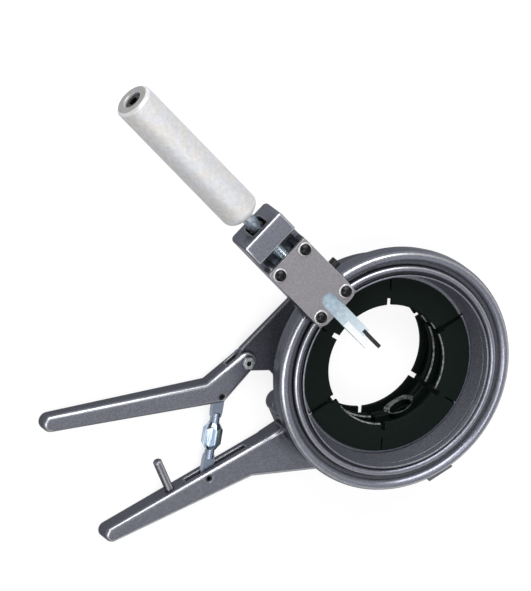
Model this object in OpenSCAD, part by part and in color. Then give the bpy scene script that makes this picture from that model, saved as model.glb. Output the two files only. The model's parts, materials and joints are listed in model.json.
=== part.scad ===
// Hand-turned pipe cutting and beveling machine.
// It lies on its back: the pipe axis is +Z, the tool head is on top,
// and the origin is on the pipe axis at the back plane.

/* [Pipe clamp] */
// Outside diameter of the pipe that the inserts hold
pipe_d = 75; // [63:1:86]
// Bore of the two jaws, which is also the outside of the inserts
clamp_d = 110; // [102:1:122]
// Wall of the half-round jaw shells
jaw_wall = 6.5; // [5.5:0.5:8]
// Length of the lower jaw along the pipe
jaw_depth = 34; // [30:1:42]
// How much shorter the upper jaw is than the lower one
upper_setback = 0.6; // [0.5:0.1:4]
// How far the lower insert stands out of its jaw
insert_proud = 2; // [0.5:0.5:4]
// Direction of the parting line, away from the hinge
split_angle = 30; // [24:1:36]
// Gap between the jaws at the parting line
split_gap = 0.8; // [0.8:0.1:2]
// Width of the notches along the bore of the inserts
notch_w = 2; // [1.2:0.1:5]
// Depth of the notches
notch_depth = 4.5; // [3:0.5:7]
// Width of the thin slits from the outside of the inserts
slit_w = 0.9; // [0.5:0.1:1.6]
// Depth of those slits
slit_depth = 8; // [5:0.5:10]
// Width of the groove around the bore of the inserts
groove_w = 5; // [2:0.5:8]
// Head diameter of the screws that hold the inserts
insert_head_d = 13; // [10:0.5:13]
// Shank diameter of those screws
insert_shank_d = 6; // [4:0.5:7]

/* [Jaw hinge] */
// Diameter of the hinge knuckles
knuckle_d = 14; // [12:0.5:15]
// Diameter of the hinge pin
hinge_pin_d = 7; // [5:0.5:8]
// How far the hinge axis lies outside the jaw shell
hinge_out = 2; // [1.5:0.5:4]
// Angle from the parting line to the hinge axis
hinge_lead = 2; // [1:0.5:4]

/* [Guide and cutter ring] */
// Wall of the guide sleeve at its foot
sleeve_wall = 5.25; // [4.5:0.25:7]
// Widening of the guide bore from its foot to its lip
cone_flare = 4; // [2:0.25:4]
// Thickness of the guide flange
flange_t = 5; // [4:0.5:7]
// Height of the cutter ring's inner web
web_h = 6; // [5:0.5:9]
// Height of the retaining ring
keeper_h = 4; // [3.6:0.1:5]
// Radial width of the retaining ring's ridge
keeper_w = 5; // [4.6:0.1:6]
// Radial width of the cutter ring outside the retaining ring
rim_w = 9; // [8:0.25:12]
// Radius of the rounded bead on the cutter ring
bead_r = 3.1; // [2.5:0.1:3.5]
// Diameter of the screws that hold the guide ring
guide_screw_d = 5; // [4:0.5:6]

/* [Tool head] */
// Direction of the tool head around the ring
head_angle = 135.5; // [120:0.5:150]
// Width of the head bracket and its cover plate
head_w = 31.5; // [30:0.5:34]
// Length of the cover plate
plate_len = 53; // [50:1:60]
// Thickness of the cover plate
plate_t = 2; // [1.5:0.25:3]
// Radius of the rounded inner corners of the cover plate
plate_corner_r = 5.5; // [3:0.5:7]
// Length of the slot in the cover plate
plate_slot_len = 15; // [12:0.5:20]
// Open gap between cover plate and bearing block
gap_len = 10.5; // [9:0.5:16]
// Length of the bearing block
block_len = 16; // [13:0.5:22]
// Height of the bearing block above the cover plate
block_rise = 3; // [1:0.5:6]
// Inside depth of the bracket under the cover plate
tray_depth = 13.5; // [13:0.25:18]
// Floor thickness of the bracket
tray_floor = 3; // [2.5:0.25:5]
// Width of the slideway in the bracket
slideway_w = 16.8; // [15:0.2:17.4]
// Head diameter of the cover screws
cover_head_d = 7; // [6:0.5:7.5]
// Distance of the cover screws from the plate's edges
cover_inset = 4.8; // [3.6:0.1:5]

/* [Feed] */
// Diameter of the threaded end of the spindle
thread_d = 7; // [6:0.25:7.5]
// Diameter of the spindle in its bearing
journal_d = 8; // [7.75:0.25:9]
// Outside diameter of the bearing bush
bush_d = 12.5; // [12:0.25:13]
// Length of the tool slide
slide_len = 34; // [32:0.5:36]
// Width of the cutter bar
bar_w = 9.6; // [9:0.2:10.4]
// Thickness of the cutter bar
bar_t = 4.6; // [4:0.1:4.8]
// Distance from the pipe axis to the end of the cutter bar
bar_reach = 43; // [40:0.5:48]
// How far the parting blade stands out of the bar
parting_out = 13.5; // [10:0.5:18]
// Thickness of the parting blade
parting_w = 2.4; // [1.6:0.1:2.6]
// How far the chamfering blade stands out of the bar
chamfer_out = 7; // [4:0.5:9]
// Diameter of the grip
grip_d = 24.5; // [20:0.5:28]
// Length of the grip
grip_len = 110.3; // [90:0.1:130]

/* [Hand levers] */
// Distance from the jaw shell to the lever's pivot
pivot_out = 21.5; // [20:0.5:26]
// Distance from the lever's pivot to the pin of the link
crank_len = 26.2; // [24:0.2:29]
// Direction of that pin from the pivot
crank_angle = 234; // [230:1:238]
// Length of the link between its two pins
link_len = 51.9; // [50:0.1:58]
// Direction of the link from its upper pin
link_angle = 264; // [260:1:268]
// Length of the lever's hand part
lever_len = 105; // [90:1:130]
// Direction of the lever's hand part
lever_angle = 186.5; // [184:0.5:190]
// Thickness of the lever at its fork
fork_t = 10; // [9.6:0.1:12]
// Thickness of the lever's hand part at its end
lever_t = 13; // [11:0.5:15]
// Thickness of the arm that carries the lever
arm_t = 4.2; // [3:0.1:4.6]
// Distance from the lower pin to the end of the lower handle
handle_len = 69; // [60:1:90]
// Direction of the lower handle
handle_angle = 27; // [24:1:30]
// Thickness of the lower handle
handle_t = 14; // [13:0.5:16]
// Rounding of the handles' edges
edge_r = 2.4; // [1.5:0.1:3]
// Diameter of the pins of the link
link_pin_d = 4; // [3:0.25:4.5]
// Diameter of the lever's pivot bolt
pivot_bolt_d = 6; // [5:0.25:6.5]
// Length of the stop pin above the lower handle
stop_len = 21; // [14:1:26]
// Diameter of the stop pin
stop_d = 5.5; // [4:0.5:6]

/* [Turnbuckle] */
// Width of the turnbuckle nut across its flats
buckle_af = 10.5; // [9.5:0.5:12]
// Length of the turnbuckle nut
buckle_len = 17; // [13:0.5:18]
// Diameter of the necks of the two eyes
neck_d = 6; // [5:0.25:7]
// Thickness of the flat eyes
eye_t = 4; // [3:0.1:4.2]
// Width of the flat eyes
eye_w = 7; // [6.8:0.1:8]

/* [Hidden] */

$fn = 96;
casting = "#6d6c74";
satin_steel = "#a9a5a6";
bright_steel = "#c3d0d8";
zinc = "#b9c7da";
black_oxide = "#1d1e20";
light_metal = "#c9c8c8";
insert_black = "#17201f";
bronze = "#a8814a";

// Clearances
running = 0.05;
play = 0.3;
side_gap = 0.5;
overlap = 1;

// Pipe clamp
pipe_r = pipe_d / 2;
clamp_r = clamp_d / 2;
shell_r = clamp_r + jaw_wall;
upper_depth = jaw_depth - upper_setback;
lower_insert_len = jaw_depth + insert_proud;
screw_level = jaw_depth / 2 + 1;
insert_cap_h = 5;
insert_cap_r = clamp_r - 8;
insert_thread = jaw_wall - 1;
groove_depth = 1.2;
bore_chamfer = 0.7;
seat_edge = 1.4;
lug_w = 17;
lug_out = 23.8;
lug_foot = 6;

// Hinge
hinge_r = shell_r + hinge_out;
hinge_angle = split_angle + 180 - hinge_lead;
knuckle_step = (jaw_depth - 1) / 3;

// Guide ring, retaining ring and cutter ring
ledge = 2;
guide_r = clamp_r + ledge;
sleeve_r = guide_r + sleeve_wall;
ring_z = jaw_depth + flange_t + side_gap;
web_top = ring_z + web_h;
sleeve_top = web_top + play;
lip_z = sleeve_top + keeper_h;
keeper_r = sleeve_r + keeper_w;
ring_bore = keeper_r + play;
ring_r = ring_bore + rim_w;
flange_r = ring_r - 1.2;
bead_z = lip_z - side_gap;
bead_c = [ring_r - bead_r, bead_z - bead_r];
guide_screw_r = shell_r + 5;
guide_boss_r = 7;
guide_head_r = guide_screw_d * 0.8;
guide_head_z = jaw_depth / 2 + 3;
guide_screw_angles = [12, 90, 168];

// Tool head, measured outwards from the pipe axis
head_in = ring_bore + 1;
head_z = bead_z;
floor_z = head_z + tray_floor;
tray_top = floor_z + tray_depth;
plate_out = head_in + plate_len;
block_in = plate_out + gap_len;
block_out = block_in + block_len;
block_top = tray_top + plate_t + block_rise;
block_edge = 2.2;
feed_z = floor_z + thread_d / 2 + 1;
rail_top = feed_z + 1.5;
well_w = head_w - 7;
rod_side = (head_w + well_w) / 4;
cover_t = head_w / 2 - cover_inset;
cover_in = head_in + cover_inset + 1.8;
cover_outer = plate_out - cover_inset - 0.8;
cover_shank_d = 4;
cover_shank_len = 5;
head_screw_rho = head_in + 5;
head_screw_d = 4;
pad_len = 10;
rod_d = 3;
rod_z = rail_top - 0.3;
rod_out = 3.4;
side_rho = head_in + 20.5;
side_head = [6.6, 5];
side_shank_d = 4;

// Feed
slide_in = head_in + 11.5;
slide_w = slideway_w - 0.3;
bar_top = tray_top - 0.2;
bar_z = bar_top - bar_t;
bar_out = slide_in + 24;
thread_in = slide_in + 12;
collar_len = 4;
collar_d = journal_d + 3;
collar_in = block_in - play - collar_len;
pocket = 5;
pocket_roof = 3.4;
clip_len = 2;
clip_d = 11;
clip_in = block_out - pocket + play;
grip_in = block_out + 10;
grip_out = grip_in + grip_len;
grip_recess = 8;
grip_recess_d = 12;
grip_floor = 16;
screw_bite = 8;
tap_len = screw_bite + 2;
shank_out = grip_out - grip_recess - grip_floor;
grip_screw_d = 5;
parting_side = -1;
blade_seat = 15;
parting_len = parting_out + blade_seat;
chamfer_t = bar_t / 2;
chamfer_side = 0.4;
chamfer_len = chamfer_out + blade_seat;
blade_screw_d = 1.6;

// Levers and link, in the plane of the linkage
link_z = 8;
pivot_p = [-(shell_r + pivot_out), 0];
upper_p = pivot_p + polar(crank_len, crank_angle);
lower_p = upper_p + polar(link_len, link_angle);
fork_r = 6.6;
fork_slot = arm_t + 2 * play;
bend_angle = 218;
bend_p = pivot_p + polar(30, bend_angle);
fork_len = 36;
bend_r = 6.7;
lever_end_r = 5.5;
lever_end = bend_p + polar(lever_len, lever_angle);
arm_eye_r = 6.2;
rib_w = 2.2;
rib_out = 5.3;
rib_h = 3.7;
rib_proud = 1;
rib_angle = 44.4;
rib_foot = pivot_p * [cos(rib_angle), sin(rib_angle)] + rib_w + play;
handle_slot = eye_t + 2 * play + 0.2;
handle_tip_r = 5;
root_top = [45, -2.6];
root_r = 7;
root_kink = [27, -8];
kink_r = 6;
slot_ends = [-13, 30];
slot_bottom = -8;
bolt_head_h = 2.6;
nut_t = 2.2;
bolt_af = 7;
stop_back = 45;
handle_low = -0.5;
hand_drop = 2;
eye_slack = 0.7;

function polar(r, a) = [r * cos(a), r * sin(a)];

// Point of the lower handle, along and across it from its pin
function on_handle(p) = lower_p + polar(p[0], handle_angle) + polar(p[1], handle_angle + 90);

// Puts children at a point of the linkage plan
module at(p, z = 0) translate([p[0], p[1], z]) children();

// Puts children at a distance from the pipe axis, in the head's direction
module in_head(rho = 0, t = 0, z = 0) rotate(head_angle) translate([rho, t, z]) children();

// Turns a solid that stands on Z so that it lies along the head, outwards
module along_head(rho, t = 0, z = 0) in_head(rho, t, z) rotate([0, 90, 0]) children();

// Turns a solid that stands on Z so that it points away from the pipe axis
module outwards(angle, r, z) rotate(angle) translate([r, 0, z]) rotate([0, 90, 0]) children();

// Half of space above or below the parting plane, kept back by half the gap
module half_space(upper) {
    size = 4 * shell_r;
    rotate(split_angle)
        translate([-size / 2, upper ? split_gap / 2 : -split_gap / 2 - size, -overlap])
            cube([size, size, jaw_depth + 4 * overlap + insert_proud]);
}

// Disc with rounded rims, the building block of the cast handles
module soft_disc(r, h, foot_edge = 0.8) {
    steps = 3;
    rim = [r - edge_r, h - edge_r];
    top = [for (i = [0:steps]) rim + polar(edge_r, 90 * i / steps)];
    rotate_extrude($fn = 32)
        polygon(concat([[0, 0], [r - foot_edge, 0], [r, foot_edge]], top, [[0, h]]));
}

// Socket-head screw pointing down, with its seat at z = 0
module cap_screw(head_d, head_h, shank_d, shank_len) {
    difference() {
        union() {
            cylinder(d = head_d, h = head_h);
            translate([0, 0, -shank_len]) cylinder(d = shank_d, h = shank_len + overlap);
        }
        translate([0, 0, head_h * 0.45]) cylinder(d = head_d * 0.58, h = head_h, $fn = 6);
    }
}

// Button-head screw pointing down, with its seat at z = 0
module button_screw(head_d, shank_d, shank_len) {
    head_h = head_d * 0.48;
    difference() {
        union() {
            rotate_extrude()
                intersection() {
                    translate([0, -head_d * 0.22]) circle(r = head_h + head_d * 0.22);
                    square([head_d / 2, head_h]);
                }
            translate([0, 0, -shank_len]) cylinder(d = shank_d, h = shank_len + overlap);
        }
        translate([0, 0, head_h * 0.5]) cylinder(d = head_d * 0.42, h = head_h, $fn = 6);
    }
}

// Hollow spring pin, centred on its middle
module spring_pin(d, len) {
    difference() {
        translate([0, 0, -len / 2]) cylinder(d = d, h = len);
        translate([0, 0, -len / 2 - overlap]) cylinder(d = d * 0.55, h = len + 2 * overlap);
    }
}

// Half-round jaw shell before its details
module jaw_shell(depth, upper) {
    edge = 1;
    intersection() {
        rotate_extrude()
            polygon([
                [clamp_r, 0], [shell_r - edge, 0], [shell_r, edge],
                [shell_r, depth - edge], [shell_r - edge, depth], [clamp_r, depth]
            ]);
        half_space(upper);
    }
}

// Hinge knuckle between two heights
module knuckle(z0, z1, grow = 0) {
    at(polar(hinge_r, hinge_angle), z0) cylinder(d = knuckle_d + 2 * grow, h = z1 - z0);
}

// Thick part of the lower shell between its knuckles and the next screw boss
module knuckle_cheek() {
    boss_angle = split_angle + 180 + guide_screw_angles[0];
    root = clamp_r + overlap;
    linear_extrude(3 * knuckle_step)
        polygon([
            polar(root, hinge_angle), polar(hinge_r + knuckle_d / 2 - side_gap, hinge_angle),
            polar(guide_screw_r + guide_boss_r - overlap, boss_angle), polar(root, boss_angle)
        ]);
}

// Tapped hole for the screw of an insert
module insert_screw_hole(angle) {
    outwards(angle, clamp_r - overlap, screw_level)
        cylinder(d = insert_shank_d, h = insert_thread + overlap + 0.5);
}

// Lower handle, narrow at its end and spread out into the jaw
module handle_bar() {
    foot = 1.6;
    hull() {
        at(on_handle([-handle_len, handle_low])) soft_disc(handle_tip_r, handle_t, foot_edge = foot);
        at(on_handle(root_top)) soft_disc(root_r, handle_t, foot_edge = foot);
        at(on_handle(root_kink)) soft_disc(kink_r, handle_t, foot_edge = foot);
    }
    hull() {
        at(on_handle(root_top)) soft_disc(root_r, handle_t);
        at(on_handle(root_kink)) soft_disc(kink_r, handle_t);
        at(polar(shell_r + 10.5, split_angle + 216.5)) soft_disc(kink_r, handle_t);
        at(polar(clamp_r + kink_r, split_angle + 194)) soft_disc(kink_r, handle_t);
    }
}

// Flat-ended lug on the outside of the lower jaw
module lug() {
    rotate(split_angle - 90)
        translate([clamp_r + 4, -lug_w / 2, lug_foot])
            cube([jaw_wall - 4 + lug_out, lug_w, jaw_depth - lug_foot - side_gap]);
}

module lower_jaw() {
    boss_angles = [for (a = guide_screw_angles) split_angle + 180 + a];
    color(casting)
    difference() {
        union() {
            jaw_shell(jaw_depth, false);
            difference() {
                union() {
                    handle_bar();
                    lug();
                    for (a = boss_angles)
                        at(polar(guide_screw_r, a)) cylinder(r = guide_boss_r, h = jaw_depth);
                    knuckle(0, knuckle_step);
                    knuckle(2 * knuckle_step, 3 * knuckle_step);
                    knuckle_cheek();
                }
                translate([0, 0, -overlap]) cylinder(r = clamp_r + 2, h = jaw_depth + 2 * overlap);
            }
        }
        knuckle(knuckle_step - play, 2 * knuckle_step + play, grow = 0.6);
        at(polar(hinge_r, hinge_angle), -overlap) cylinder(d = hinge_pin_d, h = jaw_depth + 2 * overlap);
        for (a = boss_angles) {
            at(polar(guide_screw_r, a), -overlap)
                cylinder(d = guide_screw_d, h = jaw_depth + 2 * overlap);
            at(polar(guide_screw_r, a), -overlap)
                cylinder(r = guide_head_r + 0.4, h = guide_head_z + overlap);
        }
        insert_screw_hole(split_angle - 90);
        at(lower_p, link_z - handle_slot / 2)
            rotate(handle_angle)
                translate([slot_ends[0], slot_bottom, 0])
                    cube([slot_ends[1] - slot_ends[0], 4 * root_r, handle_slot]);
        at(lower_p, -overlap) cylinder(d = link_pin_d, h = handle_t + 2 * overlap);
        at(on_handle([stop_back - handle_len, 0]), link_z)
            rotate([-90, 0, handle_angle]) cylinder(d = stop_d, h = stop_len);
    }
}

// Half bush: an outer shell with slits, a grooved bore and a screw seat
module insert_half(len, upper) {
    middle = split_angle + (upper ? 90 : -90);
    mid = len / 2;
    groove_floor = groove_w - groove_depth;
    seat_d = insert_head_d + 1.5;
    color(insert_black)
    difference() {
        intersection() {
            rotate_extrude()
                polygon([
                    [pipe_r, 0], [clamp_r, 0], [clamp_r, len],
                    [pipe_r + bore_chamfer, len], [pipe_r, len - bore_chamfer],
                    [pipe_r, mid + groove_w / 2], [pipe_r + groove_depth, mid + groove_floor / 2],
                    [pipe_r + groove_depth, mid - groove_floor / 2], [pipe_r, mid - groove_w / 2]
                ]);
            half_space(upper);
        }
        for (side = [-30, 30])
            rotate(middle + side) {
                translate([pipe_r - overlap, -notch_w / 2, -overlap])
                    cube([notch_depth + overlap, notch_w, len + 2 * overlap]);
                translate([clamp_r - slit_depth, -slit_w / 2, -overlap])
                    cube([slit_depth + overlap, slit_w, len + 2 * overlap]);
            }
        outwards(middle, pipe_r - overlap, screw_level)
            cylinder(d = seat_d, h = insert_cap_r - pipe_r + overlap);
        outwards(middle, pipe_r - seat_edge, screw_level)
            cylinder(d1 = seat_d + 4 * seat_edge, d2 = seat_d, h = 2 * seat_edge);
        outwards(middle, pipe_r, screw_level)
            cylinder(d = insert_shank_d, h = clamp_r - pipe_r + overlap);
    }
}

module insert_screw(angle) {
    length = clamp_r - insert_cap_r + insert_thread;
    color(black_oxide)
        outwards(angle, insert_cap_r, screw_level)
            rotate([180, 0, 0])
                cap_screw(insert_head_d, insert_cap_h, insert_shank_d, length);
}

module lower_insert() insert_half(lower_insert_len, false);

module upper_insert() insert_half(upper_depth, true);

module lower_insert_screw() insert_screw(split_angle - 90);

module upper_insert_screw() insert_screw(split_angle + 90);

module hinge_pin() {
    color(black_oxide)
        at(polar(hinge_r, hinge_angle), side_gap)
            cylinder(d = hinge_pin_d, h = 3 * knuckle_step - side_gap);
}

// Conical bore radius of the guide at a height above its foot
function cone_r(z) = guide_r + cone_flare * (z - jaw_depth) / (lip_z - jaw_depth);

module guide_ring() {
    edge = 0.8;
    color(casting)
    difference() {
        rotate_extrude($fn = 180)
            polygon([
                [guide_r, jaw_depth], [flange_r - edge, jaw_depth], [flange_r, jaw_depth + edge],
                [flange_r, jaw_depth + flange_t - edge], [flange_r - edge, jaw_depth + flange_t],
                [sleeve_r, jaw_depth + flange_t], [sleeve_r, sleeve_top], [cone_r(sleeve_top), sleeve_top]
            ]);
        for (a = guide_screw_angles)
            at(polar(guide_screw_r, split_angle + 180 + a), jaw_depth - overlap)
                cylinder(d = guide_screw_d, h = flange_t - 1 + overlap);
    }
}

module guide_ring_screws() {
    length = jaw_depth - guide_head_z + flange_t - 1.5;
    color(black_oxide)
        for (a = guide_screw_angles)
            at(polar(guide_screw_r, split_angle + 180 + a), guide_head_z)
                rotate([180, 0, 0])
                    cap_screw(2 * guide_head_r, guide_screw_d, guide_screw_d, length);
}

module retaining_ring() {
    lip_w = 1.1;
    step_z = sleeve_top + keeper_h * 0.4;
    ridge_r = (keeper_w - lip_w) / 2;
    ridge_c = [keeper_r - ridge_r, sleeve_top + keeper_h * 0.35];
    ridge = [for (a = [0:15:180]) ridge_c + [ridge_r * cos(a), ridge_r * sin(a)]];
    color(casting)
        rotate_extrude($fn = 180)
            polygon(concat(
                [[cone_r(sleeve_top), sleeve_top], [keeper_r, sleeve_top]],
                ridge,
                [
                    [cone_r(lip_z) + lip_w, step_z], [cone_r(lip_z) + lip_w, lip_z - 0.3],
                    [cone_r(lip_z) + lip_w - 0.3, lip_z], [cone_r(lip_z), lip_z]
                ]
            ));
}

module cutter_ring() {
    edge = 0.7;
    valley = web_top + 0.4;
    bead = [for (a = [0:15:180]) bead_c + [bead_r * cos(a), bead_r * sin(a)]];
    color(casting)
    difference() {
        union() {
            rotate_extrude($fn = 180)
                polygon(concat(
                    [
                        [sleeve_r + running, ring_z], [ring_r - edge, ring_z], [ring_r, ring_z + edge]
                    ],
                    bead,
                    [
                        [ring_r - 2 * bead_r, valley], [ring_bore, valley],
                        [ring_bore, web_top], [sleeve_r + running, web_top]
                    ]
                ));
            in_head(head_in, -head_w / 2, ring_z + 1) cube([pad_len, head_w, head_z - ring_z - 1]);
        }
        for (side = [-1, 1])
            in_head(head_screw_rho, side * slideway_w / 4, ring_z + 3)
                cylinder(d = head_screw_d, h = head_z - ring_z);
    }
}

// Points of a rounded corner, from one direction to another
function corner(c, r, a0, a1) = [for (i = [0:4]) c + polar(r, a0 + (a1 - a0) * i / 4)];

// Tray with two cheeks and a bearing block, seen from its side
module bracket_side() {
    high = block_top - block_edge;
    polygon(concat(
        [[head_in, head_z], [block_out, head_z]],
        corner([block_out - block_edge, high], block_edge, 0, 90),
        corner([block_in + block_edge, high], block_edge, 90, 180),
        [[block_in, rail_top], [plate_out, rail_top], [plate_out, tray_top], [head_in, tray_top]]
    ));
}

// Bearing block and tray, seen along the head
module bracket_end() {
    side = head_w / 2 - block_edge;
    high = block_top - block_edge;
    polygon(concat(
        [[-head_w / 2, head_z], [head_w / 2, head_z]],
        corner([side, high], block_edge, 0, 90),
        corner([-side, high], block_edge, 90, 180)
    ));
}

// Pocket for the clip collar, arched below and flat above
module collar_pocket() {
    in_head(block_out - pocket, -bush_d / 2, feed_z)
        cube([pocket + overlap, bush_d, block_top - pocket_roof - feed_z]);
}

module head_bracket() {
    color(casting)
    difference() {
        intersection() {
            in_head() rotate([90, 0, 0]) translate([0, 0, -head_w / 2])
                linear_extrude(head_w) bracket_side();
            in_head() rotate([90, 0, 90]) linear_extrude(block_out + overlap) bracket_end();
        }
        in_head(head_in - overlap, -slideway_w / 2, floor_z)
            cube([block_in - head_in + overlap, slideway_w, block_top]);
        in_head(plate_out - side_gap, -well_w / 2, floor_z)
            cube([gap_len + side_gap, well_w, block_top]);
        collar_pocket();
        along_head(block_in - overlap, 0, feed_z) cylinder(d = bush_d, h = block_len + 2 * overlap);
        along_head(collar_in - play, 0, feed_z)
            cylinder(d = collar_d + 2 * play, h = block_in - collar_in + play);
        for (side = [-1, 1]) {
            in_head(head_screw_rho, side * slideway_w / 4, head_z - overlap)
                cylinder(d = head_screw_d, h = tray_floor + 2 * overlap);
            in_head(head_screw_rho, side * slideway_w / 4, floor_z - tray_floor * 0.6)
                cylinder(d1 = head_screw_d, d2 = head_screw_d * 1.7, h = tray_floor * 0.6);
            along_head(block_in - rod_out - side_gap, side * rod_side, rod_z)
                cylinder(d = rod_d, h = rod_out + block_len / 2 + side_gap);
            for (rho = [cover_in, cover_outer])
                in_head(rho, side * cover_t, tray_top - cover_shank_len)
                    cylinder(d = cover_shank_d, h = cover_shank_len + overlap);
        }
        in_head(side_rho, -slideway_w / 2 + overlap, rail_top)
            rotate([90, 0, 0]) cylinder(d = side_shank_d, h = head_w / 2);
    }
}

module cover_plate() {
    inner = plate_corner_r;
    outer = 1.5;
    color(satin_steel)
        in_head(0, 0, tray_top)
            difference() {
                linear_extrude(plate_t)
                    difference() {
                        union() {
                            translate([head_in + inner, -head_w / 2])
                                square([plate_len - inner - outer, head_w]);
                            translate([head_in, -head_w / 2 + inner])
                                square([plate_len, head_w - 2 * inner]);
                            translate([plate_out - 2 * outer, -head_w / 2 + outer])
                                square([2 * outer, head_w - 2 * outer]);
                            for (side = [-1, 1]) {
                                translate([head_in + inner, side * (head_w / 2 - inner)]) circle(r = inner);
                                translate([plate_out - outer, side * (head_w / 2 - outer)])
                                    circle(r = outer);
                            }
                        }
                        translate([head_in - overlap, -bar_w / 2])
                            square([plate_slot_len - bar_w / 2 + overlap, bar_w]);
                        translate([head_in + plate_slot_len - bar_w / 2, 0]) circle(d = bar_w);
                    }
                for (side = [-1, 1], rho = [cover_in, cover_outer])
                    translate([rho, side * cover_t, -overlap])
                        cylinder(d = cover_shank_d, h = plate_t + 2 * overlap);
            }
}

module cover_screws() {
    color(black_oxide)
        for (side = [-1, 1], rho = [cover_in, cover_outer])
            in_head(rho, side * cover_t, tray_top + plate_t)
                button_screw(cover_head_d, cover_shank_d, plate_t + cover_shank_len - 0.5);
}

// Countersunk screws in the floor of the tray
module head_screws() {
    sink = tray_floor * 0.6;
    color(black_oxide)
        for (side = [-1, 1])
            in_head(head_screw_rho, side * slideway_w / 4, floor_z)
                difference() {
                    union() {
                        translate([0, 0, -sink])
                            cylinder(d1 = head_screw_d, d2 = head_screw_d * 1.7, h = sink);
                        translate([0, 0, ring_z + 3.5 - floor_z])
                            cylinder(d = head_screw_d, h = floor_z - ring_z - 3.5 - sink / 2);
                    }
                    translate([0, 0, -sink * 0.7]) cylinder(d = head_screw_d * 0.6, h = sink, $fn = 6);
                }
}

module side_screw() {
    color(black_oxide)
        in_head(side_rho, -head_w / 2, rail_top)
            rotate([90, 0, 0])
                cap_screw(side_head[0], side_head[1], side_shank_d, head_w / 2 - slideway_w / 2 - side_gap);
}

module tie_rods() {
    color(bright_steel)
        for (side = [-1, 1])
            along_head(block_in - rod_out, side * rod_side, rod_z)
                cylinder(d = rod_d, h = rod_out + block_len / 2 - side_gap);
}

module spindle_bush() {
    color(bronze)
        along_head(block_in, 0, feed_z)
            difference() {
                cylinder(d = bush_d, h = block_len - pocket);
                translate([0, 0, -overlap]) cylinder(d = journal_d + 2 * running, h = block_len);
            }
}

module spindle() {
    tip = 0.8;
    color(bright_steel)
        along_head(0, 0, feed_z)
            difference() {
                rotate_extrude()
                    polygon([
                        [0, thread_in], [thread_d / 2 - tip, thread_in], [thread_d / 2, thread_in + tip],
                        [thread_d / 2, collar_in], [collar_d / 2, collar_in],
                        [collar_d / 2, collar_in + collar_len], [journal_d / 2, collar_in + collar_len],
                        [journal_d / 2, shank_out], [0, shank_out]
                    ]);
                translate([0, 0, shank_out - tap_len]) cylinder(d = grip_screw_d, h = tap_len + overlap);
            }
}

module spindle_collar() {
    edge = 0.6;
    color(black_oxide)
        along_head(clip_in, 0, feed_z)
            rotate_extrude()
                polygon([
                    [journal_d / 2, 0], [clip_d / 2 - edge, 0], [clip_d / 2, edge],
                    [clip_d / 2, clip_len - edge], [clip_d / 2 - edge, clip_len], [journal_d / 2, clip_len]
                ]);
}

module grip() {
    round_r = 5;
    chamfer = 1.8;
    arc = [for (a = [-90:15:0]) [grip_d / 2 - round_r + round_r * cos(a), round_r + round_r * sin(a)]];
    color(light_metal)
        along_head(grip_in, 0, feed_z)
            rotate_extrude()
                polygon(concat(
                    [[journal_d / 2, 0]],
                    arc,
                    [
                        [grip_d / 2, grip_len - chamfer], [grip_d / 2 - chamfer, grip_len],
                        [grip_recess_d / 2, grip_len], [grip_recess_d / 2, grip_len - grip_recess],
                        [journal_d / 2, grip_len - grip_recess]
                    ]
                ));
}

module grip_screw() {
    head_h = grip_recess - 1.5;
    color(black_oxide)
        along_head(grip_out - grip_recess, 0, feed_z)
            cap_screw(grip_recess_d - 1.2, head_h, grip_screw_d, grip_floor + screw_bite);
}

module tool_slide() {
    color(bright_steel)
    difference() {
        in_head(slide_in, -slide_w / 2, floor_z + 0.15)
            cube([slide_len, slide_w, bar_top - floor_z - 0.15]);
        in_head(slide_in - overlap, -bar_w / 2, bar_z)
            cube([bar_out - slide_in + overlap, bar_w, bar_t + overlap]);
        along_head(slide_in - overlap, 0, feed_z)
            cylinder(d = thread_d + 2 * running, h = slide_len + 2 * overlap);
    }
}

module cutter_bar() {
    color(bright_steel)
    difference() {
        in_head(bar_reach, -bar_w / 2, bar_z) cube([bar_out - bar_reach, bar_w, bar_t]);
        in_head(bar_reach - overlap, parting_side - parting_w, bar_z - overlap)
            cube([parting_len - parting_out + overlap, parting_w, bar_t + 2 * overlap]);
        in_head(bar_reach - overlap, chamfer_side, bar_top - chamfer_t)
            cube([chamfer_len - chamfer_out + overlap, bar_w, chamfer_t + overlap]);
        blade_screw_shanks();
    }
}

// Grub screws from the side of the bar, under the chamfering blade
module blade_screw_shanks() {
    for (back = [blade_seat / 4, blade_seat * 3 / 4])
        in_head(bar_reach + back, parting_side, bar_z + (bar_t - chamfer_t) / 2)
            rotate([-90, 0, 0]) cylinder(d = blade_screw_d, h = bar_w / 2 - parting_side);
}

module parting_blade() {
    color(black_oxide)
        in_head(bar_reach - parting_out, parting_side - parting_w, bar_z)
            rotate([90, 0, 0]) mirror([0, 0, 1])
                linear_extrude(parting_w)
                    polygon([
                        [0, bar_t], [parting_len, bar_t], [parting_len, 0], [parting_out, 0],
                        [1.2, bar_t * 0.35]
                    ]);
}

module chamfer_blade() {
    bevel = bar_w / 2 - chamfer_side;
    color(bright_steel)
        in_head(bar_reach - chamfer_out, chamfer_side, bar_top - chamfer_t)
            linear_extrude(chamfer_t)
                polygon([[bevel * 0.6, 0], [chamfer_len, 0], [chamfer_len, bevel], [0, bevel]]);
}

module blade_screws() {
    color(black_oxide) blade_screw_shanks();
}

// Flat arm from the upper shell to the lever's pivot
module arm_plan(inset = 0) {
    along = polar(1, rib_angle);
    rib_top = polar(shell_r + rib_out - inset, rib_angle + 90);
    root = clamp_r + jaw_wall / 2;
    polygon([
        rib_top, rib_top + rib_foot * along,
        pivot_p + polar(arm_eye_r, 190), pivot_p + polar(arm_eye_r, 230), pivot_p + [0, -arm_eye_r],
        [-shell_r - 5, -arm_eye_r - 0.8], [-shell_r - 1, -arm_eye_r - 4.8],
        polar(root, hinge_angle - 14), polar(root, 165), polar(root, rib_angle + 90)
    ]);
}

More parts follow.
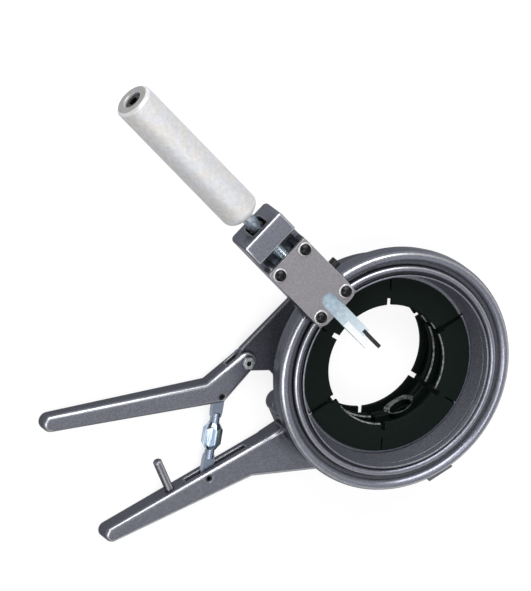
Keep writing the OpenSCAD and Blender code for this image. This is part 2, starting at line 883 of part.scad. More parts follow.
// Keeps the strip along the outer edge of the arm, up to the lever's fork
module rib_strip() {
    span = 4 * shell_r;
    rotate(rib_angle)
        translate([rib_foot, shell_r + rib_out - rib_w, -overlap]) cube([span, shell_r, span]);
}

module upper_jaw() {
    color(casting)
    difference() {
        union() {
            jaw_shell(upper_depth, true);
            difference() {
                union() {
                    translate([0, 0, link_z - arm_t / 2]) {
                        linear_extrude(arm_t) arm_plan(rib_w / 2);
                        at(pivot_p) cylinder(r = arm_eye_r, h = arm_t);
                    }
                    intersection() {
                        translate([0, 0, link_z + arm_t / 2 + rib_proud - rib_h])
                            linear_extrude(rib_h) arm_plan();
                        rib_strip();
                    }
                    knuckle(knuckle_step + play, 2 * knuckle_step - play);
                }
                translate([0, 0, -overlap]) cylinder(r = clamp_r + 2, h = jaw_depth + 2 * overlap);
            }
        }
        knuckle(-overlap, knuckle_step + play, grow = 0.6);
        knuckle(2 * knuckle_step - play, jaw_depth + overlap, grow = 0.6);
        at(polar(hinge_r, hinge_angle), -overlap)
            cylinder(d = hinge_pin_d + 2 * running, h = jaw_depth + 2 * overlap);
        insert_screw_hole(split_angle + 90);
        at(pivot_p, -overlap) cylinder(d = pivot_bolt_d, h = handle_t + 2 * overlap);
    }
}

module lever_bolt() {
    fork_top = link_z + fork_t / 2 + play;
    color(zinc)
        at(pivot_p, fork_top)
            difference() {
                union() {
                    cylinder(d = bolt_af / cos(30), h = bolt_head_h, $fn = 6);
                    translate([0, 0, side_gap - fork_top])
                        cylinder(d = pivot_bolt_d, h = fork_top - side_gap + overlap);
                }
                translate([0, 0, bolt_head_h * 0.3]) cylinder(d = bolt_af * 0.5, h = bolt_head_h, $fn = 6);
            }
}

module lever_nut() {
    color(zinc)
        at(pivot_p, link_z - fork_t / 2 - play - nut_t)
            difference() {
                cylinder(d = bolt_af * 1.43 / cos(30), h = nut_t, $fn = 6);
                translate([0, 0, -overlap]) cylinder(d = pivot_bolt_d, h = nut_t + 2 * overlap);
            }
}

module lever() {
    fork_z = link_z - fork_t / 2;
    hand_z = fork_z - hand_drop;
    hand_t = fork_t + hand_drop;
    color(casting)
    difference() {
        union() {
            hull() {
                at(pivot_p, fork_z) soft_disc(fork_r, fork_t);
                at(bend_p, fork_z) soft_disc(bend_r, fork_t);
                at(upper_p, fork_z) soft_disc(link_pin_d / 2 + 2, fork_t);
            }
            hull() {
                at(bend_p, hand_z) soft_disc(bend_r, hand_t);
                at(upper_p, hand_z) soft_disc(link_pin_d / 2 + 2, hand_t);
                at(lever_end, link_z - lever_t / 2)
                    soft_disc(lever_end_r, lever_t, foot_edge = 0.8 * lever_end_r);
            }
        }
        at(pivot_p, link_z - fork_slot / 2) {
            cylinder(r = 2 * arm_eye_r, h = fork_slot);
            rotate(bend_angle) translate([0, 3 - bend_r, 0]) cube([fork_len, fork_len, fork_slot]);
        }
        at(pivot_p, -overlap) cylinder(d = pivot_bolt_d + 2 * running, h = handle_t + 4 * overlap);
        at(upper_p, -overlap) cylinder(d = link_pin_d, h = handle_t + 4 * overlap);
    }
}

module upper_link_pin() {
    color(black_oxide) at(upper_p, link_z) spring_pin(link_pin_d, fork_t - 2 * side_gap);
}

module lower_link_pin() {
    color(black_oxide) at(lower_p, handle_t / 2) spring_pin(link_pin_d, handle_t - 2 * side_gap);
}

module stop_pin() {
    reach = handle_tip_r + stop_len;
    edge = 0.8;
    color(casting)
        at(on_handle([stop_back - handle_len, 0]), link_z)
            rotate([-90, 0, handle_angle])
                rotate_extrude()
                    polygon([
                        [0, 0], [stop_d / 2, 0], [stop_d / 2, reach - edge],
                        [stop_d / 2 - edge, reach], [0, reach]
                    ]);
}

// Stands children on the lower pin, along the link towards the upper pin
module on_link(along = 0) {
    at(lower_p, link_z)
        rotate(link_angle + 180)
            translate([along, 0, 0]) rotate([0, 90, 0]) children();
}

// Flat eye with a shoulder and a round neck, standing on its pin
module link_eye(neck_end, slack) {
    shoulder = link_len / 2 - buckle_len / 2 - 5;
    difference() {
        union() {
            intersection() {
                rotate([90, 0, 90]) translate([0, 0, -eye_t / 2]) linear_extrude(eye_t)
                    union() {
                        circle(d = eye_w);
                        translate([-eye_w / 2, 0]) square([eye_w, shoulder - 2]);
                        polygon([
                            [-eye_w / 2, shoulder - 2.01], [eye_w / 2, shoulder - 2.01],
                            [neck_d / 2, shoulder + 1.5], [-neck_d / 2, shoulder + 1.5]
                        ]);
                    }
                translate([-eye_w, -eye_w, -eye_w]) cube([2 * eye_w, 2 * eye_w, shoulder + eye_w + 1.5]);
            }
            translate([0, 0, shoulder - 1]) cylinder(d = neck_d, h = neck_end - shoulder + 1);
        }
        for (z = [-slack, slack])
            translate([-eye_w, 0, z]) rotate([0, 90, 0])
                cylinder(d = link_pin_d + 2 * (slack > 0 ? play : running), h = 2 * eye_w);
        if (slack > 0)
            translate([-eye_w, -link_pin_d / 2 - play, -slack])
                cube([2 * eye_w, link_pin_d + 2 * play, 2 * slack]);
    }
}

module lower_eye() {
    color(zinc) on_link() link_eye(link_len / 2 - 1, 0);
}

module upper_eye() {
    color(zinc) on_link(link_len) rotate([180, 0, 0]) link_eye(link_len / 2 - 1, eye_slack);
}

module turnbuckle_nut() {
    bevel = 4;
    end_r = neck_d / 2 + 0.5;
    color(zinc)
        on_link(link_len / 2 - buckle_len / 2)
            difference() {
                intersection() {
                    cylinder(d = buckle_af / cos(30), h = buckle_len, $fn = 6);
                    rotate_extrude()
                        polygon([
                            [0, 0], [end_r, 0], [buckle_af / 2 / cos(30), bevel],
                            [buckle_af / 2 / cos(30), buckle_len - bevel], [end_r, buckle_len],
                            [0, buckle_len]
                        ]);
                }
                translate([0, 0, -overlap]) cylinder(d = neck_d + 2 * running, h = buckle_len + 2 * overlap);
            }
}

lower_jaw();
lower_insert();
lower_insert_screw();
hinge_pin();
guide_ring();
guide_ring_screws();
retaining_ring();
stop_pin();
lower_link_pin();
upper_jaw();
upper_insert();
upper_insert_screw();
lever_bolt();
lever_nut();
lever();
upper_link_pin();
lower_eye();
turnbuckle_nut();
upper_eye();
cutter_ring();
head_bracket();
cover_plate();
cover_screws();
head_screws();
side_screw();
tie_rods();
spindle_bush();
spindle();
spindle_collar();
grip();
grip_screw();
tool_slide();
cutter_bar();
parting_blade();
chamfer_blade();
blade_screws();
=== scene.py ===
"""Looks of the pipe cutting and beveling machine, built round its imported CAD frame."""

import json
import math

import bmesh
import bpy
from mathutils import Matrix, Vector


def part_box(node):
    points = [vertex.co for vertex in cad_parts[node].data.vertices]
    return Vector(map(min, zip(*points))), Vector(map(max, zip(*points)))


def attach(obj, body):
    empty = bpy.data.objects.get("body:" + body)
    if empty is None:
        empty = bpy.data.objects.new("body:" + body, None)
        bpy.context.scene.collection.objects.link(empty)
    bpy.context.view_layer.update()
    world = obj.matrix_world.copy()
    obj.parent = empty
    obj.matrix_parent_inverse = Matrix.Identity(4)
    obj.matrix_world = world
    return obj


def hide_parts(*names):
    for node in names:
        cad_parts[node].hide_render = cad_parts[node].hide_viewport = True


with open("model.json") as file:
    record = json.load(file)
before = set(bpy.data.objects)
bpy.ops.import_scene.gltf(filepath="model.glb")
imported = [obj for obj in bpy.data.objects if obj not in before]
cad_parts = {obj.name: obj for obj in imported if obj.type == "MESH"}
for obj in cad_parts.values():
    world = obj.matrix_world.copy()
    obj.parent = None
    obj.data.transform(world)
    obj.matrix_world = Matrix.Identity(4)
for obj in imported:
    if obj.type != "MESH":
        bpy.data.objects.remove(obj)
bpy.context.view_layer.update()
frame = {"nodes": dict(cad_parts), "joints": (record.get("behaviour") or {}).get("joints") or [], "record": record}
RECORD = frame["record"]
MM = 0.001
NODE_BODY = {node: body for body, nodes in RECORD["behaviour"]["bodies"].items() for node in nodes}
SLOT = {part["node"]: part["material_slot"] for part in RECORD["subparts"]}

# Places taken from the CAD frame
JOINT = {joint["name"]: joint for joint in frame["joints"]}
HEAD = Vector(JOINT["feed_spin"]["axis"]).normalized()
ACROSS = Vector((-HEAD.y, HEAD.x, 0.0))
HEAD_ANGLE = math.atan2(HEAD.y, HEAD.x)
LINK = JOINT["turnbuckle_spin"]["axis"]
LINK_ANGLE = math.atan2(LINK[1], LINK[0])
FEED_Z = JOINT["feed_spin"]["pos_m"][2]
LEVER_PIVOT = Vector(JOINT["lever_swing"]["pos_m"]) / MM

# Feed spindle, in millimetres: places from the pipe axis along the head, then radii and thread
THREAD_IN, COLLAR_IN, COLLAR_OUT, SHANK_OUT = 92.05, 127.75, 131.75, 244.35
THREAD_R, COLLAR_R, SHANK_R = 3.5, 5.5, 4.0
COLLAR_EDGE = 0.3
THREAD_PITCH, THREAD_DEPTH = 2.0, 0.7
ROWS_PER_TURN = 8
LEAD_LENGTH, LEAD_START, LEAD_DROP = 0.8, 0.2, 0.8
RUN_OUT = 1.2

# Crest and flanks of the thread, as shares of its half pitch
CREST, FLANK = 0.15, 0.7

# Tool head, in millimetres along the head and to its side
BRAZED, BLANK_OUT = 46.0, 74.0
BLOCK_R = 3.0
COVER_SPOTS = [(along, way * 10.95) for along in (75.15, 115.95) for way in (-1, 1)]
SEAT_IN, SEAT_OUT, SEAT_HIGH = 3.4, 4.5, 0.3
GRIP_FACE, GRIP_RIM = 1.0, 3.0

# Socket in the head of the lever bolt, in millimetres, its depth counted from the crown
SOCKET_R, SOCKET_TOP, SOCKET_FLOOR = 1.9, 0.4, 2.5

# Bore of the half bushes, in millimetres: lips at both ends, a rib in the middle, recesses between
BORE_R, RECESS_R, LIP, RIB, RIB_EDGE = 37.5, 41.6, 2.5, 3.4, 0.8
NOTCH_W, NOTCH_IN, NOTCH_OUT = 3.0, 30.0, 42.0
NOTCH_ANGLES = (30, 90, 150, 210, 270, 330)
BOSS_R, BOSS_MIDDLE = 9.6, 45.0

# Pale strips in that bore, in millimetres and degrees: at its front edge and its rib, and the turns round
# the pipe axis where they show as a painted highlight; then the inner radii of the scuffed countersink and boss
FRONT_STRIP, RIB_STRIP, RIB_OVER = 1.2, 1.6, 0.2
HIGHLIGHT_ANGLES = ((-31, 40), (-140, -92))
CONE_R, CREST_R = 6.5, 8.4

# Cutting tools reach past what they cut, in millimetres
CUT_LENGTH, CUT_SPARE, CORNER_SPARE, CORNER_TALL = 60.0, 2.0, 1.0, 100.0

# Sides of round meshes, and the angle in degrees from which an edge counts as sharp
SPINDLE_SIDES, SEAT_SIDES, BOSS_SIDES, RECESS_SIDES, CORNER_STEPS = 48, 40, 64, 150, 8
SHARP, SEAT_SHARP = 34, 50

# Clean-up of the CAD meshes: gaps and slivers in millimetres, flat joins in degrees
WELD, SLIVER, FLAT = 0.0001, 0.001, 0.6


# Node helpers for the materials

def tint(color, amount):
    """A colour made darker or paler, with its alpha."""
    return tuple(min(1.0, c * amount) for c in color) + (1.0,)


class Shader:
    """A material with a Principled shader and short calls for its nodes."""

    def __init__(self, name, rough, metal=0.0, **sockets):
        self.mat = bpy.data.materials.new(name)
        self.mat.use_nodes = True
        self.nodes = self.mat.node_tree.nodes
        self.links = self.mat.node_tree.links
        self.bsdf = self.nodes["Principled BSDF"]
        self.bsdf.inputs["Roughness"].default_value = rough
        self.bsdf.inputs["Metallic"].default_value = metal
        for socket, value in sockets.items():
            self.bsdf.inputs[socket.replace("_", " ")].default_value = value
        self.place = self.add("ShaderNodeTexCoord").outputs
        self.coords = self.place["Object"]
        self.round = None

    def add(self, kind, **values):
        node = self.nodes.new(kind)
        for key, value in values.items():
            setattr(node, key, value)
        return node

    def put(self, value, socket):
        if isinstance(value, bpy.types.NodeSocket):
            self.links.new(value, socket)
        else:
            socket.default_value = value

    def math(self, operation, a, b=0.0):
        node = self.add("ShaderNodeMath", operation=operation)
        self.put(a, node.inputs[0])
        self.put(b, node.inputs[1])
        return node.outputs[0]

    def dot(self, a, b):
        node = self.add("ShaderNodeVectorMath", operation="DOT_PRODUCT")
        self.put(a, node.inputs[0])
        self.put(b, node.inputs[1])
        return node.outputs["Value"]

    def split(self, vector):
        node = self.add("ShaderNodeSeparateXYZ")
        self.links.new(vector, node.inputs[0])
        return node.outputs

    def stretch(self, scale, turn):
        """Coordinates in a frame turned about Z, scaled along, across and up."""
        node = self.add("ShaderNodeMapping", vector_type="TEXTURE")
        node.inputs["Rotation"].default_value = (0, 0, turn)
        node.inputs["Scale"].default_value = [1 / x for x in scale]
        self.links.new(self.coords, node.inputs["Vector"])
        return node.outputs[0]

    def rings(self, scale_r, scale_z):
        """Coordinates that vary with the distance from the Z axis, for turned faces."""
        x, y, z = self.split(self.coords)
        square = self.math("ADD", self.math("MULTIPLY", x, x), self.math("MULTIPLY", y, y))
        join = self.add("ShaderNodeCombineXYZ")
        self.links.new(self.math("MULTIPLY", self.math("SQRT", square), scale_r), join.inputs[0])
        self.links.new(self.math("MULTIPLY", z, scale_z), join.inputs[1])
        return join.outputs[0]

    def noise(self, size, detail=3.0, vector=None, rough=0.55):
        """Noise with spots of about the given size in metres."""
        node = self.add("ShaderNodeTexNoise")
        node.inputs["Scale"].default_value = 1.0 / size
        node.inputs["Detail"].default_value = detail
        node.inputs["Roughness"].default_value = rough
        self.links.new(vector or self.coords, node.inputs["Vector"])
        return node.outputs[0]

    def ramp(self, value, low, high, out_low, out_high):
        node = self.add("ShaderNodeMapRange")
        for i, v in enumerate((value, low, high, out_low, out_high)):
            self.put(v, node.inputs[i])
        return node.outputs[0]

    def mix(self, factor, a, b):
        """Mixes two colours, which are inputs 6 and 7 and output 2 of a Mix node."""
        node = self.add("ShaderNodeMix", data_type="RGBA")
        self.put(factor, node.inputs[0])
        self.put(a, node.inputs[6])
        self.put(b, node.inputs[7])
        return node.outputs[2]

    def rounded(self, radius):
        """Rounds the edges in the shading; gives 1 on them and 0 on open faces."""
        bevel = self.add("ShaderNodeBevel", samples=6)
        bevel.inputs["Radius"].default_value = radius
        self.round = bevel.outputs[0]
        normal = self.add("ShaderNodeNewGeometry").outputs["Normal"]
        return self.ramp(self.dot(self.round, normal), 0.90, 0.995, 1.0, 0.0)

    def color(self, value):
        self.put(value, self.bsdf.inputs["Base Color"])

    def roughness(self, value):
        self.links.new(value, self.bsdf.inputs["Roughness"])

    def bump(self, height, distance, strength):
        node = self.add("ShaderNodeBump")
        node.inputs["Strength"].default_value = strength
        node.inputs["Distance"].default_value = distance
        self.links.new(height, node.inputs["Height"])
        if self.round:
            self.links.new(self.round, node.inputs["Normal"])
        self.links.new(node.outputs[0], self.bsdf.inputs["Normal"])


# Materials

CAST_GREY = (0.186, 0.192, 0.229)
CAST_GLINT = (0.30, 0.31, 0.34, 1.0)
CAST_BARE = (0.30, 0.305, 0.33, 1.0)
CAST_WEAR_AND_SHEEN = (0.90, 0.905, 0.93, 1.0)
PLASTIC_BLACK, PLASTIC_DUST = (0.0030, 0.0064, 0.0052, 1), (0.009, 0.015, 0.013, 1)
ZINC_STREAK = (0.17, 0.25, 0.37, 1.0)
OXIDE_DARK, OXIDE_PALE = (0.005, 0.005, 0.006), (0.014, 0.0145, 0.016)
ALLOY_COOL = (0.83, 0.85, 0.92), (1.02, 1.03, 1.06)
ALLOY_WARM = (0.88, 0.85, 0.83), (1.06, 1.03, 0.98)
ALLOY_PIT = (0.62, 0.62, 0.66)
TOOL_BLUE = (0.56, 0.66, 0.74)
BRONZE = (0.42, 0.28, 0.12)


def casting(name, radius, reach, wall, shade=1.0, rub_and_sheen=1.0, turned=False):
    """Metallic grey paint: bare and pale on roundings, with a painted highlight; painted shade on walls and
    corners.

    The roundings have the radius and the painted corner shade the reach, both in metres. wall is how
    dark the painted shade on upright faces is, shade how pale the paint is, and rub how pale the slanted roundings
    wear, which also paints a highlight.
    """
    s = Shader(name, 0.3, metal=0.72, Specular_Tint=CAST_GLINT, Specular_IOR_Level=0.35)
    grain = s.noise(0.5 * MM, 2.0)
    cloud = s.noise(15 * MM, 4.0)
    base = s.mix(cloud, tint(CAST_GREY, 0.9 * shade), tint(CAST_GREY, 1.1 * shade))
    speck = s.ramp(s.noise(1.2 * MM, 3.0), 0.38, 0.64, 0.0, 0.55)
    base = s.mix(speck, base, tint(CAST_GREY, 0.5 * shade))
    level = s.math("ABSOLUTE", s.split(s.place["Normal"])[2])
    # Painted shade: upright faces get a darker copy of the paint
    upright = s.ramp(level, 0.15, 0.6, wall, 0.0)
    base = s.mix(upright, base, tint(CAST_GREY, 0.25 * shade))
    chips = s.ramp(s.noise(2.4 * MM, 4.0), 0.3, 0.66, 0.7, 1.0)
    base = s.mix(s.math("MULTIPLY", chips, s.rounded(radius)), base, CAST_BARE)
    # Slanted roundings paler from wear, which also paints a highlight on them
    slant_wear_and_sheen = s.math(
        "MULTIPLY", s.ramp(level, 0.66, 0.82, 0.0, rub_and_sheen), s.ramp(level, 0.92, 0.98, 1.0, 0.0),
    )
    base = s.mix(s.math("MULTIPLY", chips, slant_wear_and_sheen), base, CAST_WEAR_AND_SHEEN)
    # Painted shade in corners and grooves, from ambient occlusion
    corner = s.add("ShaderNodeAmbientOcclusion", samples=8)
    corner.inputs["Distance"].default_value = reach
    shut, clear = (0.62, 0.98) if turned else (0.35, 0.9)
    corner_shade = s.ramp(corner.outputs["AO"], shut, clear, 0.9, 0.0)
    s.color(s.mix(corner_shade, base, tint(CAST_GREY, 0.1)))
    height = grain
    if turned:
        cut = s.noise(1.0, 2.0, vector=s.rings(3200.0, 2400.0))
        height = s.math("ADD", s.math("MULTIPLY", grain, 0.4), s.math("MULTIPLY", cut, 0.7))
    s.roughness(s.ramp(grain, 0.25, 0.75, 0.24, 0.34))
    s.bump(height, 0.05 * MM, 0.5)
    return s.mat


def insert_plastic(name, pale_tone, gloss=0.08):
    """Black turned plastic; rubbed is the paler tone of its scuffed edges, and of its bright lines, which also
    carry a painted highlight.
    """
    s = Shader(name, 0.6, Specular_IOR_Level=gloss)
    dust = s.ramp(s.noise(1.4 * MM, 5.0), 0.5, 0.8, 0.0, 0.4)
    black = s.mix(dust, PLASTIC_BLACK, PLASTIC_DUST)
    if pale_tone:
        scuff = s.ramp(s.noise(2.0 * MM, 4.0), 0.34, 0.6, 0.15, 1.0)
        black = s.mix(scuff, black, pale_tone)
    s.color(black)
    cut = s.noise(1.0, 2.0, vector=s.rings(2200.0, 1800.0))
    s.roughness(s.ramp(cut, 0.2, 0.8, 0.5, 0.7))
    s.bump(cut, 0.06 * MM, 0.5)
    return s.mat


def plate_steel(name, color, rough):
    """Dull plate with fine mottling and a few dark spots."""
    s = Shader(name, rough, metal=0.45, Specular_IOR_Level=0.3)
    grain = s.noise(0.8 * MM, 3.0)
    cloud = s.noise(6 * MM, 5.0)
    base = s.mix(cloud, tint(color, 0.9), tint(color, 1.1))
    mottle = s.ramp(s.noise(1.3 * MM, 3.0), 0.38, 0.62, 0.0, 0.6)
    base = s.mix(mottle, base, tint(color, 0.72))
    spots = s.ramp(s.noise(1.8 * MM, 2.0), 0.70, 0.78, 0.0, 0.6)
    s.color(s.mix(spots, base, tint(color, 0.5)))
    s.roughness(s.ramp(grain, 0.2, 0.8, rough - 0.06, rough + 0.1))
    s.bump(grain, 0.03 * MM, 0.5)
    return s.mat


def zinc_plate(name, color, rough, drawn=False):
    """Zinc plating; on drawn stock it shows streaks along the link."""
    s = Shader(name, rough, metal=1.0)
    haze = s.noise(2.0 * MM, 5.0)
    base = s.mix(haze, tint(color, 0.82), tint(color, 1.16))
    if drawn:
        lines = s.noise(1.0, 2.0, vector=s.stretch((50.0, 620.0, 620.0), LINK_ANGLE))
        base = s.mix(s.ramp(lines, 0.46, 0.56, 0.0, 0.85), base, ZINC_STREAK)
    s.color(base)
    s.roughness(s.ramp(haze, 0.25, 0.75, rough - 0.07, rough + 0.1))
    s.bump(s.noise(0.7 * MM, 3.0), 0.03 * MM, 0.4)
    return s.mat


def tool_steel():
    """Ground steel with fine lines along the head."""
    s = Shader("tool_steel", 0.24, metal=0.8)
    lines = s.noise(1.0, 3.0, vector=s.stretch((120.0, 3200.0, 1400.0), HEAD_ANGLE))
    cloud = s.ramp(s.noise(3.4 * MM, 5.0), 0.3, 0.7, 0.0, 1.0)
    s.color(s.mix(cloud, tint(TOOL_BLUE, 0.8), tint(TOOL_BLUE, 1.25)))
    s.roughness(s.ramp(lines, 0.2, 0.8, 0.18, 0.32))
    s.bump(lines, 0.015 * MM, 0.5)
    return s.mat


def bar_steel(name, color, tip):
    """Ground bar, blank and pale towards its cutting end."""
    s = Shader(name, 0.32, metal=0.6)
    lines = s.noise(1.0, 3.0, vector=s.stretch((90.0, 2600.0, 1400.0), HEAD_ANGLE))
    cloud = s.ramp(s.noise(2.6 * MM, 5.0), 0.3, 0.7, 0.0, 1.0)
    base = s.mix(cloud, tint(color, 0.72), tint(color, 1.22))
    blank = s.ramp(s.dot(s.coords, HEAD), BRAZED * MM, BLANK_OUT * MM, 0.95, 0.0)
    s.color(s.mix(blank, base, tip))
    s.roughness(s.ramp(lines, 0.2, 0.8, 0.24, 0.42))
    s.bump(lines, 0.03 * MM, 0.5)
    return s.mat


def black_oxide(name, shade=1.0, rough=0.3):
    """Blackened steel with a slight haze."""
    s = Shader(name, rough, metal=0.5)
    haze = s.noise(1.6 * MM, 4.0)
    s.color(s.mix(haze, tint(OXIDE_DARK, shade), tint(OXIDE_PALE, shade)))
    s.roughness(s.ramp(haze, 0.3, 0.7, rough - 0.08, rough + 0.1))
    s.bump(s.noise(0.5 * MM, 2.0), 0.02 * MM, 0.4)
    return s.mat


def blasted_alloy(name, pale, rough=0.55):
    """Blasted light metal with cool and warm blotches and fine dark pits."""
    s = Shader(name, rough, metal=0.35, Specular_IOR_Level=0.3)
    cloud = s.ramp(s.noise(3.0 * MM, 6.0, rough=0.75), 0.36, 0.64, 0.0, 1.0)
    blotch = s.ramp(s.noise(9.0 * MM, 4.0), 0.38, 0.62, 0.0, 1.0)
    cool, warm = (
        s.mix(cloud, tint(low, pale), tint(high, pale)) for low, high in (ALLOY_COOL, ALLOY_WARM)
    )
    base = s.mix(blotch, cool, warm)
    pits = s.ramp(s.noise(1.1 * MM, 3.0), 0.56, 0.74, 0.0, 0.55)
    s.color(s.mix(pits, base, tint(ALLOY_PIT, pale)))
    grain = s.noise(0.45 * MM, 2.0)
    s.roughness(s.ramp(grain, 0.25, 0.75, rough - 0.09, rough + 0.11))
    s.bump(s.math("ADD", grain, s.math("MULTIPLY", cloud, 1.2)), 0.08 * MM, 0.6)
    return s.mat


def bronze():
    """Bearing bronze with a slight haze."""
    s = Shader("bronze", 0.3, metal=1.0)
    haze = s.noise(2 * MM, 4.0)
    s.color(s.mix(haze, tint(BRONZE, 0.8), tint(BRONZE, 1.2)))
    s.roughness(s.ramp(haze, 0.3, 0.7, 0.24, 0.4))
    s.bump(s.noise(0.6 * MM, 2.0), 0.02 * MM, 0.4)
    return s.mat


MATERIAL = {
    "casting": casting("cast_paint", 1.9 * MM, 1.5 * MM, 0.7, 1.0, 0.7),
    "turned": casting("turned_paint", 0.5 * MM, 3.0 * MM, 0.6, 1.2, 0.7, turned=True),
    # Paler copy of the ring paint without painted wall shade, for faces towards the pipe axis: painted light
    "ring_bore": casting("bore_paint_lit", 1.1 * MM, 0.8 * MM, 0.0, 1.8, 0.0, turned=True),
    "head": casting("head_paint", 1.2 * MM, 1.5 * MM, 0.5, 1.15),
    "insert": insert_plastic("insert_black", None),
    "insert_bore": insert_plastic("insert_shaded", None, 0.02),
    "insert_edge": insert_plastic("insert_rubbed", (0.075, 0.083, 0.080, 1)),
    # Pale tone of the lines in the bore: scuffed plastic with a painted highlight
    "insert_highlight_line": insert_plastic("insert_bright_highlight", (0.27, 0.285, 0.28, 1)),
    "insert_seat": insert_plastic("insert_seat", (0.15, 0.16, 0.16, 1)),
    "black_screw": black_oxide("black_oxide"),
    "blade": black_oxide("dark_blade", 2.5, 0.36),
    "zinc": zinc_plate("zinc_plate", (0.48, 0.58, 0.69), 0.2),
    "buckle": zinc_plate("zinc_drawn", (0.62, 0.72, 0.82), 0.2, drawn=True),
    "bright": zinc_plate("zinc_bright", (0.85, 0.89, 0.93), 0.3),
    "eye": zinc_plate("zinc_forged", (0.22, 0.26, 0.33), 0.3),
    "plate": plate_steel("plate_steel", (0.262, 0.250, 0.270), 0.5),
    # Pale edges of the plate and rings round its screws: wear, and also a painted highlight
    "plate_edge": plate_steel("plate_wear_sheen", (0.74, 0.74, 0.76), 0.3),
    "tool_steel": tool_steel(),
    "bar": bar_steel("bar_steel", (0.37, 0.47, 0.55), (0.66, 0.76, 0.82, 1)),
    # Pale edges of the bar and faces of the chamfer blade: ground steel, and on the edges also a painted highlight
    "bar_edge": bar_steel("bar_wear_sheen", (0.80, 0.86, 0.90), (0.92, 0.95, 0.97, 1)),
    "grip": blasted_alloy("blasted_alloy", 0.63),
    "grip_end": blasted_alloy("turned_alloy", 0.38, 0.4),
    "grip_rim": blasted_alloy("rubbed_alloy", 0.74, 0.35),
    "bush": bronze(),
}


# Mesh helpers

def link_object(name, data):
    obj = bpy.data.objects.new(name, data)
    bpy.context.scene.collection.objects.link(obj)
    return obj


def close_mesh(bm, name):
    """An object with a finished mesh, its faces all looking out."""
    bmesh.ops.recalc_face_normals(bm, faces=bm.faces)
    mesh = bpy.data.meshes.new(name)
    bm.to_mesh(mesh)
    bm.free()
    return link_object(name, mesh)


def add_skin(bm, rows, ring):
    """Faces over rows of points, each row closed in itself.

    A ring joins its last row to its first; other skins get a cap at both ends.
    """
    rows = [[bm.verts.new(point) for point in row] for row in rows]
    for one, two in zip(rows, rows[1:] + rows[:1] if ring else rows[1:]):
        for i in range(len(one)):
            j = (i + 1) % len(one)
            bm.faces.new((one[i], two[i], two[j], one[j]))
    if not ring:
        bm.faces.new(rows[0][::-1])
        bm.faces.new(rows[-1])


def turns(sides):
    return [2 * math.pi * i / sides for i in range(sides)]


def settle(obj):
    """Applies the modifiers of an object to its mesh."""
    graph = bpy.context.evaluated_depsgraph_get()
    done = bpy.data.meshes.new_from_object(obj.evaluated_get(graph))
    obj.modifiers.clear()
    obj.data = done


def smooth(mesh, angle):
    mesh.shade_smooth()
    mesh.set_sharp_from_angle(angle=math.radians(angle))


def carve(obj, tool):
    """Cuts the shape of a tool out of an object and drops the tool."""
    cut = obj.modifiers.new("cut", "BOOLEAN")
    cut.operation = "DIFFERENCE"
    cut.solver = "EXACT"
    cut.object = tool
    settle(obj)
    bpy.data.objects.remove(tool)


DONE = set()


def stand_in(obj, node):
    """Shows an object in the place of a CAD node, on the node's body."""
    DONE.add(node)
    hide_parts(node)
    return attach(obj, NODE_BODY[node])


def soften(node, width, segments=3, edge=None, main=None, tools=()):
    """A copy of a CAD node in its place, cut with tools and with its sharp edges rounded.

    width is that of the roundings in millimetres. main and edge name the finish of the copy and
    of its roundings, where they differ from the node's own.
    """
    mesh = frame["nodes"][node].data.copy()
    mesh.materials.clear()
    bm = bmesh.new()
    bm.from_mesh(mesh)
    bmesh.ops.remove_doubles(bm, verts=bm.verts, dist=WELD * MM)
    bmesh.ops.dissolve_degenerate(bm, dist=SLIVER * MM, edges=bm.edges)
    bmesh.ops.dissolve_limit(bm, angle_limit=math.radians(FLAT), verts=bm.verts, edges=bm.edges)
    bm.to_mesh(mesh)
    bm.free()
    obj = link_object(node + "_finish", mesh)
    mesh.materials.append(MATERIAL[main or SLOT[node]])
    if edge:
        mesh.materials.append(MATERIAL[edge])
    for tool in tools:
        carve(obj, tool)
    if width:
        bevel = obj.modifiers.new("round", "BEVEL")
        bevel.width = width * MM
        bevel.segments = segments
        bevel.limit_method = "ANGLE"
        bevel.angle_limit = math.radians(SHARP)
        bevel.use_clamp_overlap = True
        bevel.material = 1 if edge else -1
    obj.modifiers.new("flat", "WEIGHTED_NORMAL").keep_sharp = True
    smooth(obj.data, SHARP)
    settle(obj)
    return stand_in(obj, node)


def recolour(obj, material, test):
    """Gives another finish to the faces whose middle, in millimetres, and normal pass a test."""
    mesh = obj.data
    mesh.materials.append(MATERIAL[material])
    for face in mesh.polygons:
        if test(face.center / MM, face.normal):
            face.material_index = len(mesh.materials) - 1


def off_axis(c):
    """Distance of a point from the pipe axis."""
    return math.hypot(c.x, c.y)


def inward(c, n):
    """How far a face looks towards the pipe axis: 1 when straight at it."""
    return -(n.x * c.x + n.y * c.y) / max(1.0, off_axis(c))


# Feed spindle and screw seats

def thread_radius(along, angle):
    """Radius of the feed thread, with a short lead at its start and a run-out at its end."""
    turn = (along / THREAD_PITCH - angle / (2 * math.pi)) % 1.0
    flank = min(1.0, max(0.0, (abs(turn - 0.5) * 2 - CREST) / FLANK))
    lead = min(1.0, (along - THREAD_IN) / LEAD_LENGTH + LEAD_START)
    fade = min(1.0, (COLLAR_IN - along) / RUN_OUT)
    return THREAD_R - THREAD_DEPTH * flank * fade - LEAD_DROP * (1 - lead)


def spindle_rows():
    """Places along the feed axis, each with a radius for every angle."""
    rows = []
    along = THREAD_IN
    while along < COLLAR_IN:
        rows.append((along, lambda a, x=along: thread_radius(x, a)))
        along += THREAD_PITCH / ROWS_PER_TURN
    for along, radius in (
        (COLLAR_IN, THREAD_R),
        (COLLAR_IN, COLLAR_R - COLLAR_EDGE),
        (COLLAR_IN + COLLAR_EDGE, COLLAR_R),
        (COLLAR_OUT - COLLAR_EDGE, COLLAR_R),
        (COLLAR_OUT, COLLAR_R - COLLAR_EDGE),
        (COLLAR_OUT, SHANK_R),
        (SHANK_OUT, SHANK_R),
    ):
        rows.append((along, lambda a, r=radius: r))
    return rows


